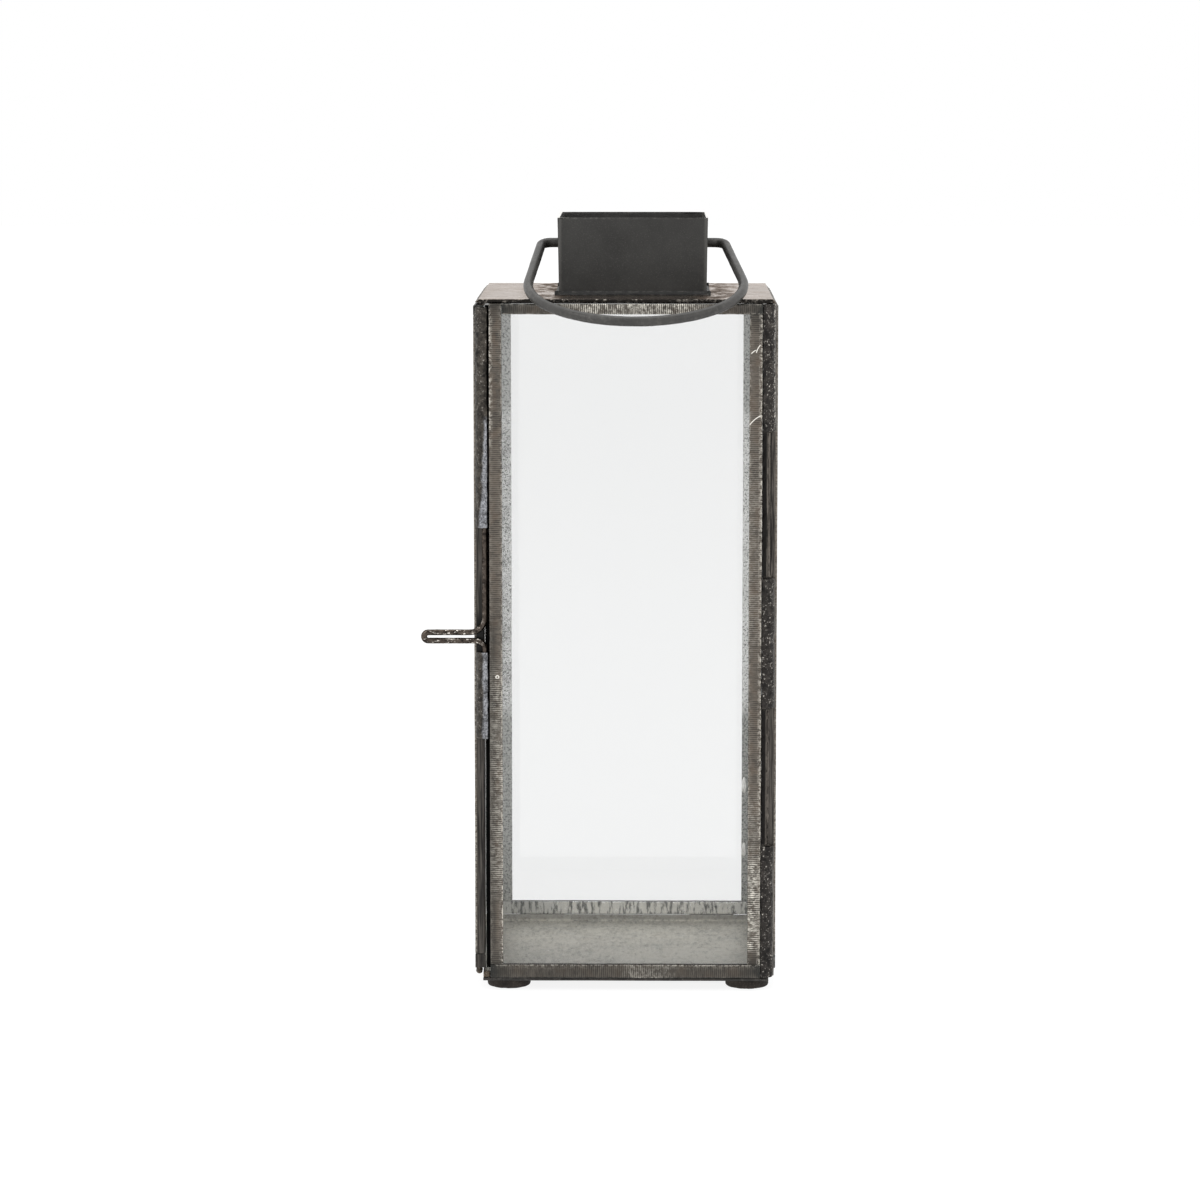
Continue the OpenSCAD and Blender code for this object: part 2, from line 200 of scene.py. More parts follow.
def bumped(tree, height, depth, strength):
    made = add(tree, "Bump", None, Strength=strength, Distance=depth, Height=height)
    return made.outputs["Normal"]


def new_material(name, **plain):
    """A material with one Principled shader. Plain values go straight on the shader's own sockets."""
    made = bpy.data.materials.new(name)
    made.use_nodes = True
    tree = made.node_tree
    shader = tree.nodes["Principled BSDF"]
    for key, value in plain.items():
        socket = shader.inputs[key.replace("_", " ")]
        socket.default_value = rgba(value) if key in ("Base_Color", "Specular_Tint") else value
    return made, tree, shader


def drive(tree, shader, **sockets):
    for key, value in sockets.items():
        tree.links.new(value, shader.inputs[key.replace("_", " ")])


# ---------------------------------------------------------------- materials

def strip_metal():
    """Antique patina on ribbed zinc strip: brown-grey and greenish black, tinned in places, zinc inside.
    Painted shade darkens the webs, the rails' folds and the shaded stiles, and the inner zinc's brightness
    is partly a painted reflection.
    """
    made, tree, shader = new_material(STRIP_METAL, IOR=1.6)
    where = place(tree)
    run = attribute(tree, "run", "Vector")
    wear, tin, inside, brushed_and_shade = (attribute(tree, name) for name in ("wear", "tin", "inside", "brushed_and_shade"))
    zinc, web, grime = (attribute(tree, name) for name in ("zinc", "web", "grime"))
    cloud = grain(tree, where, 15 * MM, 5)
    patch = grain(tree, where, 5 * MM, 5, 0.6)
    fine = grain(tree, where, 0.4 * MM, 3)
    dots = grain(tree, where, 0.75 * MM, 3, 0.65)
    rolled = ridges(tree, run, RIB_PITCH)
    uneven = grain(tree, stretched(tree, run, (1.0, 0.3, 1.0)), 0.9 * MM, 4, 0.65)
    ribs = maths(tree, "ADD", maths(tree, "MULTIPLY", rolled, 0.3), maths(tree, "MULTIPLY", uneven, 0.7))
    streak = grain(tree, stretched(tree, run, (0.03, 1.0, 1.0)), 0.42 * MM, 4, 0.6)

    dark = mixed(tree, remap(tree, cloud, 0.36, 0.66), (0.030, 0.026, 0.023), (0.082, 0.070, 0.059))
    brown = mixed(tree, remap(tree, patch, 0.48, 0.66, 0.0, 0.7), dark, (0.125, 0.091, 0.066))
    ribbed = mixed(tree, remap(tree, ribs, 0.36, 0.64, 0.0, 0.6), brown, (0.24, 0.209, 0.172))
    # Darker near the panel's corners, and painted shade on the rails' folds against the roof and the tray
    dirt_and_shade = maths(tree, "MULTIPLY", grime, remap(tree, patch, 0.34, 0.56, 0.6, 1.0))
    grimy = mixed(tree, dirt_and_shade, ribbed, (0.018, 0.019, 0.0175))
    # Rubbed edges show bright metal; on the front bottom rail's fold one stretch is a painted highlight
    chips = maths(tree, "MULTIPLY", wear, remap(tree, dots, 0.47, 0.56))
    worn = mixed(tree, chips, grimy, (0.74, 0.70, 0.62))

    rubbed = grain(tree, stretched(tree, run, (1.0, 0.35, 1.0)), 0.6 * MM, 4, 0.7)
    lined, smeared = maths(tree, "MULTIPLY", rolled, 0.2), maths(tree, "MULTIPLY", rubbed, 0.8)
    rolled_tin = maths(tree, "ADD", lined, smeared)
    tinned = mixed(tree, remap(tree, rolled_tin, 0.42, 0.60), (0.040, 0.034, 0.028), (0.74, 0.71, 0.63))
    blotch = grain(tree, where, 2.4 * MM, 5, 0.7)
    tin_edge = maths(tree, "MULTIPLY", tin, remap(tree, blotch, 0.41, 0.55, 0.05, 1.0))
    front = mixed(tree, tin_edge, worn, tinned)
    marks = 0.0
    for centre, radius, low, high in ARCS:
        marks = maths(tree, "MAXIMUM", marks, arc_mark(tree, where, centre, radius, low, high))
    marked = mixed(tree, marks, front, (0.90, 0.87, 0.80))
    streaked = mixed(tree, zinc, (0.080, 0.071, 0.062), (0.15, 0.132, 0.115))
    seam = mixed(tree, remap(tree, streak, 0.42, 0.60), (0.014, 0.0125, 0.011), streaked)
    # Painted shade: near black on the rails' webs, against the roof and the tray, and on the door stile's
    # web between the pull's legs
    web_shade = mixed(tree, brushed_and_shade, seam, (0.006, 0.0055, 0.005))
    outer = mixed(tree, web, marked, web_shade)

    crystals = remap(tree, dots, 0.42, 0.56)
    strokes = grain(tree, stretched(tree, run, (1.0, 0.25, 1.0)), 1.2 * MM, 4, 0.6)
    brush = remap(tree, strokes, 0.385, 0.505)
    speckle = mixed(tree, brushed_and_shade, crystals, brush)
    dull = mixed(tree, speckle, (0.125, 0.13, 0.12), (0.42, 0.425, 0.39))
    spotted = mixed(tree, brushed_and_shade, remap(tree, dots, 0.38, 0.48), brush)
    between = mixed(tree, brushed_and_shade, (0.36, 0.37, 0.35), (0.18, 0.184, 0.17))
    bright = mixed(tree, spotted, between, (1.0, 1.0, 0.98))
    # Bright inner zinc: partly its own brightness, partly a painted reflection
    shining = maths(tree, "MULTIPLY", zinc, remap(tree, patch, 0.36, 0.54, 0.85, 1.0))
    colour = mixed(tree, inside, outer, mixed(tree, shining, dull, bright))
    clean = maths(tree, "MULTIPLY", inside, shining)

    satin = remap(tree, patch, 0.3, 0.7, 0.34, 0.52)
    rough = maths(tree, "SUBTRACT", satin, maths(tree, "MULTIPLY", clean, 0.2))
    height = maths(tree, "ADD", maths(tree, "MULTIPLY", ribs, 0.6), maths(tree, "MULTIPLY", fine, 0.35))
    drive(tree, shader, Base_Color=colour, Roughness=rough, Normal=bumped(tree, height, 0.05 * MM, 0.8))
    drive(tree, shader, Metallic=remap(tree, clean, 0.0, 1.0, 0.7, 0.97))
    return made


def solder_metal(name, base, light, fleck):
    """Rough, pitted solder with irregular bright flecks, and a blue-grey bloom where a piece has one. Where
    its gap layer is set it is painted near black, as shade.
    """
    made, tree, shader = new_material(name, Metallic=0.75)
    where = place(tree)
    lump = grain(tree, where, 2.2 * MM, 6, 0.7)
    fine = grain(tree, where, 0.5 * MM, 4, 0.65)
    body = mixed(tree, remap(tree, lump, 0.38, 0.64), base, light)
    frost = remap(tree, grain(tree, where, 0.5 * MM, 4, 0.7), 0.38, 0.62)
    bloom = mixed(tree, frost, (0.070, 0.073, 0.081), (0.44, 0.45, 0.48))
    frosted = maths(tree, "MULTIPLY", attribute(tree, "bloom"), remap(tree, lump, 0.38, 0.52, 0.4, 1.0))
    toned = mixed(tree, frosted, body, bloom)
    share = remap(tree, grain(tree, where, 0.6 * MM, 3, 0.7), 0.60, 0.65, 0.0, fleck)
    flecks = maths(tree, "MULTIPLY", share, remap(tree, lump, 0.44, 0.55))
    rubs = maths(tree, "MULTIPLY", attribute(tree, "rubbed"), remap(tree, fine, 0.50, 0.58))
    flecked = mixed(tree, maths(tree, "MAXIMUM", flecks, rubs), toned, (0.70, 0.66, 0.60))
    lines = grain(tree, stretched(tree, where, (1.0, 1.0, 0.03)), 0.45 * MM, 4, 0.6)
    drawn = mixed(tree, remap(tree, lines, 0.40, 0.60), (0.016, 0.014, 0.012), (0.17, 0.15, 0.13))
    smoothed = mixed(tree, attribute(tree, "drawn"), flecked, drawn)
    # Painted shade: near black where the gap layer is set
    drive(tree, shader, Base_Color=mixed(tree, attribute(tree, "gap"), smoothed, (0.010, 0.009, 0.008)))
    drive(tree, shader, Roughness=remap(tree, fine, 0.3, 0.7, 0.26, 0.5))
    height = maths(tree, "ADD", maths(tree, "MULTIPLY", lump, 0.6), maths(tree, "MULTIPLY", fine, 0.4))
    drive(tree, shader, Normal=bumped(tree, height, 0.3 * MM, 1.0))
    return made


def tray_metal():
    """Satin grey-beige sheet with a fine grain and faint clouds, and painted shade towards the front and on
    its raised edges inside; the outside is nearly black, dark patina and painted shade of the gap under the
    rails.
    """
    made, tree, shader = new_material("tray_metal", Metallic=0.5)
    where = place(tree)
    inside = attribute(tree, "inside")
    wear = attribute(tree, "wear")
    cloud = grain(tree, where, 22 * MM, 5, 0.6)
    patch = grain(tree, stretched(tree, where, (0.5, 1.6, 1.0)), 4 * MM, 6, 0.7)
    fine = grain(tree, stretched(tree, where, (1.0, 0.3, 1.0)), 1.2 * MM, 5, 0.75)
    parts = add(tree, "SeparateXYZ", None, i0=where)
    base = mixed(tree, remap(tree, cloud, 0.36, 0.64), (0.40, 0.382, 0.322), (0.68, 0.65, 0.55))
    warm = mixed(tree, remap(tree, patch, 0.5, 0.7, 0.0, 0.6), base, (0.40, 0.345, 0.26))
    stained = mixed(tree, remap(tree, patch, 0.46, 0.32, 0.0, 0.5), warm, (0.17, 0.17, 0.16))
    grainy = mixed(tree, remap(tree, fine, 0.42, 0.60, 0.0, 0.7), stained, (0.78, 0.75, 0.66))
    pitted = mixed(tree, remap(tree, fine, 0.44, 0.34, 0.0, 0.6), grainy, (0.15, 0.143, 0.125))
    scattered = specks(tree, stretched(tree, where, (1.0, 0.4, 1.0)), 7 * MM, 0.06)
    spots = maths(tree, "MULTIPLY", scattered, 0.9)
    light = mixed(tree, spots, pitted, (0.95, 0.93, 0.87))
    # Painted shade: darker towards the front of the floor, and on the raised edges inside
    shade = maths(tree, "MAXIMUM", remap(tree, parts.outputs["Y"], 0.03, -0.045, 0.0, 0.6),
                  remap(tree, parts.outputs["Z"], 0.0046, 0.0052, 0.0, 0.5))
    tray_shaded = mixed(tree, shade, light, (0.14, 0.134, 0.114))
    # The outside is nearly black: dark patina, and painted shade of the gap under the rails
    outside = mixed(tree, remap(tree, patch, 0.35, 0.65), (0.016, 0.015, 0.014), (0.045, 0.040, 0.036))
    chips = maths(tree, "MULTIPLY", wear, remap(tree, grain(tree, where, 1.6 * MM, 5, 0.7), 0.52, 0.64))
    faces = mixed(tree, inside, outside, tray_shaded)
    drive(tree, shader, Base_Color=mixed(tree, chips, faces, (0.11, 0.10, 0.09)))
    drive(tree, shader, Roughness=remap(tree, patch, 0.3, 0.7, 0.36, 0.54))
    height = maths(tree, "ADD", maths(tree, "MULTIPLY", patch, 0.5), fine)
    drive(tree, shader, Normal=bumped(tree, height, 0.06 * MM, 0.7))
    return made


def roof_metal():
    """Satin warm grey sheet with brown stains, and a rim and underside painted nearly black as shade."""
    made, tree, shader = new_material("roof_metal", Metallic=0.85, Specular_Tint=(0.80, 0.69, 0.61))
    where = place(tree)
    wear, near, rim = (attribute(tree, name) for name in ("wear", "stain", "rim"))
    cloud = grain(tree, where, 16 * MM, 5, 0.6)
    blot = grain(tree, stretched(tree, where, (1.0, 0.6, 1.0)), 4 * MM, 6, 0.7)
    fine = grain(tree, where, 0.5 * MM, 3)
    base = mixed(tree, remap(tree, cloud, 0.35, 0.66), (0.155, 0.132, 0.114), (0.27, 0.232, 0.20))
    stain = maths(tree, "MULTIPLY", near, remap(tree, blot, 0.43, 0.57))
    stained = mixed(tree, stain, base, (0.050, 0.034, 0.024))
    # Painted shade: the rim and underside nearly black
    rim_shaded = mixed(tree, rim, stained, (0.014, 0.013, 0.012))
    chips = maths(tree, "MULTIPLY", wear, remap(tree, grain(tree, where, 1.6 * MM, 5, 0.7), 0.52, 0.66))
    drive(tree, shader, Base_Color=mixed(tree, chips, rim_shaded, (0.46, 0.42, 0.37)))
    smooth = remap(tree, blot, 0.3, 0.7, 0.13, 0.26)
    drive(tree, shader, Roughness=maths(tree, "ADD", smooth, maths(tree, "MULTIPLY", stain, 0.35)))
    height = maths(tree, "ADD", maths(tree, "MULTIPLY", blot, 0.5), fine)
    drive(tree, shader, Normal=bumped(tree, height, 0.02 * MM, 0.5))
    return made


def dark_paint(name, base, light, rough_low, rough_high):
    """Thin charcoal paint on sheet or wire: scuffed lighter along edges, and bare on cut edges. A painted
    highlight lightens it by folds, and painted shade turns it near black in gaps.
    """
    made, tree, shader = new_material(name, IOR=1.42)
    where = place(tree)
    wear, bare, sheen, gap = (attribute(tree, name) for name in ("wear", "bare", "sheen", "gap"))
    cloud = grain(tree, where, 12 * MM, 5, 0.6)
    fine = grain(tree, where, 0.35 * MM, 3, 0.6)
    body = mixed(tree, remap(tree, cloud, 0.3, 0.7), base, light)
    dusted = mixed(tree, remap(tree, fine, 0.54, 0.75, 0.0, 0.3), body, (0.13, 0.125, 0.115))
    worn_through = remap(tree, grain(tree, where, 1.8 * MM, 5, 0.7), 0.48, 0.68, 0.0, 0.55)
    scuff = maths(tree, "MULTIPLY", wear, worn_through)
    scuffed = mixed(tree, scuff, dusted, (0.17, 0.16, 0.145))
    # Painted highlight along the chimney's vertical folds, where the sheen layer is set
    fold_highlight = mixed(tree, remap(tree, sheen, 0.8, 1.0, 0.0, 0.8), scuffed, (0.095, 0.092, 0.086))
    # Painted shade: near black and without shine where the gap layer is set
    shaded = mixed(tree, gap, fold_highlight, (0.004, 0.004, 0.004))
    drive(tree, shader, Base_Color=mixed(tree, bare, shaded, (0.80, 0.79, 0.76)))
    drive(tree, shader, Metallic=maths(tree, "MAXIMUM", bare, remap(tree, gap, 0.0, 1.0, 0.1, 0.0)))
    drive(tree, shader, Specular_IOR_Level=remap(tree, gap, 0.0, 1.0, 0.5, 0.0))
    drive(tree, shader, Roughness=remap(tree, cloud, 0.3, 0.7, rough_low, rough_high))
    drive(tree, shader, Normal=bumped(tree, fine, 0.04 * MM, 0.5))
    return made


def pull_metal():
    """Dark, glossy wire, with bright flecks painted as highlights on the runs that stand clear of the door.
    """
    made, tree, shader = new_material("pull_metal", Metallic=0.95, Specular_Tint=(0.42, 0.39, 0.36))
    where = place(tree)
    lump = grain(tree, where, 1.8 * MM, 6, 0.7)
    fine = grain(tree, where, 0.4 * MM, 3)
    body = mixed(tree, remap(tree, lump, 0.38, 0.62), (0.022, 0.018, 0.016), (0.12, 0.098, 0.082))
    glint_noise = grain(tree, stretched(tree, where, (0.5, 1.0, 1.0)), 0.8 * MM, 4, 0.7)
    # Painted highlight: bright flecks along the runs clear of the door
    bright = maths(tree, "MULTIPLY", attribute(tree, "shine"), remap(tree, glint_noise, 0.575, 0.62))
    drive(tree, shader, Base_Color=mixed(tree, bright, body, (0.80, 0.75, 0.68)))
    drive(tree, shader, Roughness=remap(tree, lump, 0.3, 0.7, 0.12, 0.30))
    height = maths(tree, "ADD", maths(tree, "MULTIPLY", lump, 0.7), fine)
    drive(tree, shader, Normal=bumped(tree, height, 0.08 * MM, 0.6))
    return made


def foot_rubber():
    """Matt brown-black rubber, finely rough and a little dusty."""
    made, tree, shader = new_material("foot_rubber", Roughness=0.85, Specular_IOR_Level=0.3)
    where = place(tree)
    fibre = grain(tree, where, 0.5 * MM, 5, 0.7)
    cloud = grain(tree, where, 4 * MM, 4)
    body = mixed(tree, remap(tree, cloud, 0.35, 0.65), (0.016, 0.013, 0.011), (0.042, 0.034, 0.028))
    dusty = mixed(tree, remap(tree, fibre, 0.55, 0.75, 0.0, 0.6), body, (0.13, 0.11, 0.095))
    drive(tree, shader, Base_Color=dusty, Normal=bumped(tree, fibre, 0.2 * MM, 0.9))
    return made


def pane_glass():
    """Clear sheet glass, very slightly grey and wavy."""
    made, tree, shader = new_material(
        "pane_glass", Base_Color=(0.888, 0.891, 0.891), Transmission_Weight=1.0, IOR=1.45, Roughness=0.0
    )
    where = place(tree)
    wave = grain(tree, where, 45 * MM, 2)
    drive(tree, shader, Normal=bumped(tree, wave, 0.02 * MM, 0.3))
    return made


# ---------------------------------------------------------------- mesh building blocks

def rough_at(point, size, seed=0.0):
    """Smooth noise from -1 to 1 at a point, with features of about the given size in metres."""
    return noise.noise(Vector(point) / size + Vector((seed * 7.31, seed * 3.17, seed * 5.23)))


def finish_piece(name, mesh, node, material, sharp=35):
    """Puts a finished mesh in the scene in place of its CAD node, riding on the node's body."""
    made = bpy.data.objects.new(name, mesh)
    bpy.context.scene.collection.objects.link(made)
    mesh.materials.clear()
    mesh.materials.append(material)
    for face in mesh.polygons:
        face.use_smooth = True
        face.material_index = 0
    mesh.set_sharp_from_angle(angle=math.radians(sharp))
    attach(made, BODY_OF[node])
    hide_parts(node)


def add_piece(name, mesh, material, body):
    """Puts a small mesh that has no CAD node in the scene, riding on a body."""
    made = bpy.data.objects.new(name, mesh)
    bpy.context.scene.collection.objects.link(made)
    mesh.materials.append(material)
    mesh.shade_smooth()
    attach(made, body)


def with_wear(work, paint):
    """New vertex layers on a bmesh: one for the wear, and one for each rule in paint."""
    wear = work.verts.layers.float.new("wear")
    return wear, {key: work.verts.layers.float.new(key) for key in paint}


def cad_copy(node):
    """A bmesh of a CAD node with its split vertices joined again."""
    work = bmesh.new()
    work.from_mesh(frame["nodes"][node].data)
    bmesh.ops.remove_doubles(work, verts=work.verts, dist=0.002 * MM)
    return work


def sharp_edges(work, angle=30):
    limit = math.radians(angle)
    return [e for e in work.edges if len(e.link_faces) == 2 and e.calc_face_angle(0) > limit]


def sliced(work, step, margin):
    """Cuts every face along a grid, and close to the sides of the whole, so that it can bend and wear."""
    points = [v.co.copy() for v in work.verts]
    for axis in range(3):
        low, high = min(p[axis] for p in points), max(p[axis] for p in points)
        count = max(1, round((high - low) / step))
        cuts = [low + (high - low) * i / count for i in range(1, count)]
        if high - low > 4 * margin:
            cuts += [low + margin, high - margin]
        normal = Vector((axis == 0, axis == 1, axis == 2))
        for cut in cuts:
            bmesh.ops.bisect_plane(
                work, geom=[*work.verts, *work.edges, *work.faces], dist=0.001 * MM,
                plane_co=normal * cut, plane_no=normal,
            )


def distance_to(point, start, end):
    along = end - start
    share = max(0.0, min(1.0, (point - start).dot(along) / max(along.length_squared, 1e-18)))
    return (point - start - along * share).length


def worked_sheet(name, node, material, bevel, step, wave, paint=None):
    """A sheet-metal piece from its CAD solid: rounded edges, slightly beaten faces, wear along the edges."""
    paint = paint or {}
    work = cad_copy(node)
    bmesh.ops.dissolve_limit(work, angle_limit=math.radians(1), verts=work.verts, edges=work.edges)
    edges = sharp_edges(work)
    lines = [(e.verts[0].co.copy(), e.verts[1].co.copy()) for e in edges]
    bmesh.ops.bevel(
        work, geom=edges, offset=bevel, segments=3, profile=0.5, affect="EDGES", clamp_overlap=True
    )
    bmesh.ops.triangulate(work, faces=work.faces)
    sliced(work, step, bevel * 2.5)
    work.normal_update()
    wear, layers = with_wear(work, paint)
    for vert in work.verts:
        near = min(distance_to(vert.co, a, b) for a, b in lines)
        vert[wear] = max(0.0, 1 - near / (bevel * 2.2))
        for key, rule in paint.items():
            vert[layers[key]] = rule(vert.co, vert.normal)
    moves = []
    for vert in work.verts:
        dent = 0.5 + 0.35 * rough_at(vert.co, 22 * MM) + 0.15 * rough_at(vert.co, 6 * MM, 2)
        moves.append(vert.normal * -wave * max(0.0, dent))
    for vert, move in zip(work.verts, moves):
        vert.co += move
    mesh = bpy.data.meshes.new(name)
    work.to_mesh(mesh)
    work.free()
    finish_piece(name, mesh, node, material)


def remeshed(node, voxel):
    """The CAD node's surface as one even skin of small quads."""
    work = cad_copy(node)
    mesh = bpy.data.meshes.new("skin")
    work.to_mesh(mesh)
    work.free()
    holder = bpy.data.objects.new("skin", mesh)
    bpy.context.scene.collection.objects.link(holder)
    remesh = holder.modifiers.new("skin", "REMESH")
    remesh.mode = "VOXEL"
    remesh.voxel_size = voxel
    depsgraph = bpy.context.evaluated_depsgraph_get()
    skin = bpy.data.meshes.new_from_object(holder.evaluated_get(depsgraph))
    bpy.data.objects.remove(holder)
    bpy.data.meshes.remove(mesh)
    return skin


def lumpy(name, node, material, voxel, rounds, depth, lump, paint=None):
    """A poured, filed or bent piece from its CAD solid: corners melted round, and an uneven skin."""
    paint = paint or {}
    skin = remeshed(node, voxel)
    work = bmesh.new()
    work.from_mesh(skin)
    for _ in range(rounds):
        bmesh.ops.smooth_vert(
            work, verts=work.verts, factor=0.5, use_axis_x=True, use_axis_y=True, use_axis_z=True
        )
    work.normal_update()
    wear, layers = with_wear(work, paint)
    moves = []
    for vert in work.verts:
        for key, rule in paint.items():
            vert[layers[key]] = rule(vert.co)
        big = rough_at(vert.co, lump)
        small = rough_at(vert.co, lump * 0.35, 3)
        tiny = rough_at(vert.co, lump * 0.14, 5)
        height = 0.55 * big + 0.3 * small + 0.15 * tiny
        vert[wear] = max(0.0, min(1.0, 0.4 + height))
        moves.append(vert.normal * depth * min(0.0, height - 0.25))
    for vert, move in zip(work.verts, moves):
        vert.co += move
    work.to_mesh(skin)
    work.free()
    skin.name = name
    finish_piece(name, skin, node, material, 80)


# ---------------------------------------------------------------- channel strips

def channel_outline(width, depth):
    """The folded strip's outline: (distance from the fold, depth from the face, wear, side) for each point.
    side is -1 on the outer face, 1 on the chamber's face and 0 in the slot and on the fold."""
    near = FOLD + 0.4 * MM
    back = depth - LIP
    points = [(width - LIP, 0.0, 1.0, -1), (width - 4 * LIP, 0.0, 0.2, -1), (width * 0.6, 0.0, 0.0, -1)]
    points += [(near + 0.5 * MM, 0.0, 0.0, -1), (near, 0.0, 0.3, -1)]
    fold_wear = [0.8 if 0 < i < ARC_STEPS else 0.4 for i in range(ARC_STEPS + 1)]
    for i, wear in enumerate(fold_wear):
        turn = math.pi / 2 * i / ARC_STEPS
        points.append((FOLD * (1 - math.sin(turn)), FOLD * (1 - math.cos(turn)), wear, -1))
    points += [(0.0, near, 0.1, 0), (0.0, depth / 2, 0.0, 0), (0.0, depth - near, 0.1, 0)]
    for i, wear in enumerate(fold_wear):
        turn = math.pi / 2 * i / ARC_STEPS
        inset = FOLD * (1 - math.sin(turn))
        points.append((FOLD * (1 - math.cos(turn)), depth - inset, wear, 1))
    points += [(near, depth, 0.1, 1), (width * 0.6, depth, 0.0, 1), (width - 4 * LIP, depth, 0.1, 1)]
    points += [(width - LIP, depth, 0.8, 1), (width, back, 0.8, 1), (width, depth - WALL + LIP, 0.3, 0)]
    points += [(width - LIP, depth - WALL, 0.0, 0), (WALL, depth - WALL, 0.0, 0)]
    points += [(WALL, WALL, 0.0, 0), (width - LIP, WALL, 0.0, 0)]
    points += [(width, WALL - LIP, 0.3, 0), (width, LIP, 0.9, -1)]
    return points


def hump(value, low, high, soft):
    """1 between low and high, falling smoothly to 0 over soft on either side."""
    rise = max(0.0, min(1.0, (value - low) / soft + 1))
    fall = max(0.0, min(1.0, (high - value) / soft + 1))
    return min(rise, fall)


def tin_share(node, point):
    """How much bare tin or solder shows on a strip's outer face."""
    axis, stretches = TINNED.get(node, ("z", []))
    along = getattr(point, axis) / MM
    return max((share * hump(along, low, high, soft) for share, low, high, soft in stretches), default=0.0)


def zinc_share(node, point):
    """How bright the zinc is on a strip's inner face, partly its own brightness and partly a painted
    reflection. The back stiles are dulled at both ends.
    """
    z = point.z / MM
    # Painted shade: on the two shaded stiles this only sets the streaks on their webs and inner folds, kept
    # dim, on the right panel's stile only below 120 mm
    if node in SHADED:
        return 0.25 + 0.75 * hump(z, 120, 240, 5) if node == "right_left_stile" else 0.1
    low, high = (0.1, 0.9) if node == "back_left_stile" else (0.3, 1.0)
    if node.endswith("stile"):
        return low + (high - low) * max(hump(z, 84, 182, 8), 0.35 * hump(z, 180, 230, 4))
    if node == "back_bottom_rail":
        return 0.55 + 0.45 * hump(point.x / MM, -20, 36, 14)
    return 0.25


def grime_share(strip, point, middle, half, along, on_fold):
    """How dark a strip's outer face is: most near the panel's corners, and on a rail's fold, where it is
    painted shade against the roof or the tray.
    """
    from_end = half - abs((point - middle).dot(along))
    if strip.endswith("stile"):
        return max(0.15, 0.8 - from_end / (11 * MM))
    if on_fold:
        return 0.9
    return max(0.55 if strip == "bottom_rail" else 0.35, 1 - from_end / (18 * MM))


def wear_and_highlight_share(node, point, on_fold):
    """How bright a strip's edges are rubbed: most on the fold of the front panel's right stile. On the front
    bottom rail's fold a short stretch is a painted highlight.
    """
    z = point.z / MM
    if node == "front_right_stile":
        return 0.9 if on_fold else 0.35
    if node == "front_left_stile":
        return 0.15 + 0.8 * hump(z, 186, 222, 6) if on_fold else 0.4 + 0.6 * hump(z, 0, 96, 20)
    # Painted highlight: a short stretch of the front bottom rail's fold is lighter
    if node == "front_bottom_rail" and on_fold:
        return 0.05 + 0.4 * hump(point.x / MM, 3, 11, 2)
    if on_fold and node.endswith("rail"):
        return 0.15
    return 0.3 + 0.4 * max(0.0, rough_at(point, 24 * MM, 8))


